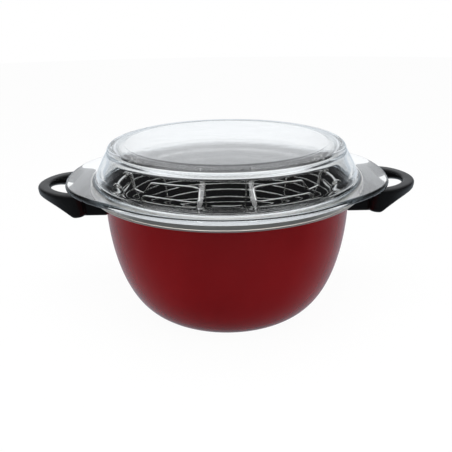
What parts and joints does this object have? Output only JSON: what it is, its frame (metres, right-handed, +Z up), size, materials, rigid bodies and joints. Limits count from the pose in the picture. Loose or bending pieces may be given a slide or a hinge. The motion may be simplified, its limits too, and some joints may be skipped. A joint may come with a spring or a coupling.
{
  "type": "deep fry pot",
  "caption": "Round enamelled deep-fry pot with moulded side handles, a wire frying basket with fold-in handles, and an eared glass lid.",
  "frame": {"origin": "centre of the pot's base, on the surface that it stands on", "axes": "+Z up, +X along the two side handles towards the right one, +Y away from the viewer"},
  "size_m": [0.3732, 0.2752, 0.1673],
  "materials": {
    "enamel": "glossy dark red enamel outside, dark speckled grey enamel inside",
    "rim_steel": "rolled stainless band",
    "phenolic": "black phenolic moulding, slightly glossy",
    "zinc_steel": "zinc-plated steel",
    "chrome_wire": "bright plated wire",
    "glass": "clear pressed glass"
  },
  "bodies": {
    "pot": {"pot_body": "enamel", "rim_band": "rim_steel", "handle_bracket_right": "zinc_steel", "side_handle_right": "phenolic", "handle_washer_right": "zinc_steel", "handle_screw_right": "zinc_steel", "handle_bracket_left": "zinc_steel", "side_handle_left": "phenolic", "handle_washer_left": "zinc_steel", "handle_screw_left": "zinc_steel"},
    "basket": {"basket_rim_ring": "chrome_wire", "basket_wall_ring_1": "chrome_wire", "basket_wall_ring_2": "chrome_wire", "basket_wall_ring_3": "chrome_wire", "basket_wall_ring_4": "chrome_wire", "basket_wall_ring_5": "chrome_wire", "basket_wall_ring_6": "chrome_wire", "basket_wall_ring_7": "chrome_wire", "basket_wall_ring_8": "chrome_wire", "basket_wall_ring_9": "chrome_wire", "basket_wall_ring_10": "chrome_wire", "basket_wall_ring_11": "chrome_wire", "basket_floor_ring_1": "chrome_wire", "basket_floor_ring_2": "chrome_wire", "basket_floor_ring_3": "chrome_wire", "basket_rib_1": "chrome_wire", "basket_rib_2": "chrome_wire", "basket_rib_3": "chrome_wire", "basket_rib_4": "chrome_wire", "basket_rib_5": "chrome_wire", "basket_rib_6": "chrome_wire", "basket_rib_7": "chrome_wire", "basket_rib_8": "chrome_wire", "basket_rib_9": "chrome_wire", "basket_rib_10": "chrome_wire", "basket_rib_11": "chrome_wire", "basket_rib_12": "chrome_wire"},
    "lid": {"glass_lid": "glass"},
    "basket_handle_right": {"basket_handle_right": "chrome_wire", "basket_cross_bar_right": "chrome_wire"},
    "basket_handle_left": {"basket_handle_left": "chrome_wire", "basket_cross_bar_left": "chrome_wire"}
  },
  "joints": [
    {"name": "basket_lift", "type": "slide", "parent": "pot", "child": "basket", "axis": [0, 0, 1], "range_m": [0, 0.15]},
    {"name": "lid_lift", "type": "slide", "parent": "basket", "child": "lid", "axis": [0, 0, 1], "range_m": [0, 0.25]},
    {"name": "basket_handle_right_swing", "type": "hinge", "parent": "basket", "child": "basket_handle_right", "pos_m": [0.10511, 0, 0.1257], "axis": [0, 1, 0], "range_deg": [0, 170]},
    {"name": "basket_handle_left_swing", "type": "hinge", "parent": "basket", "child": "basket_handle_left", "pos_m": [-0.10511, 0, 0.1257], "axis": [0, -1, 0], "range_deg": [0, 170]}
  ],
  "couplings": [
    {"joint": "basket_handle_right_swing", "follows": "lid_lift", "rad_per_m": 11.8},
    {"joint": "basket_handle_left_swing", "follows": "lid_lift", "rad_per_m": 11.8}
  ]
}
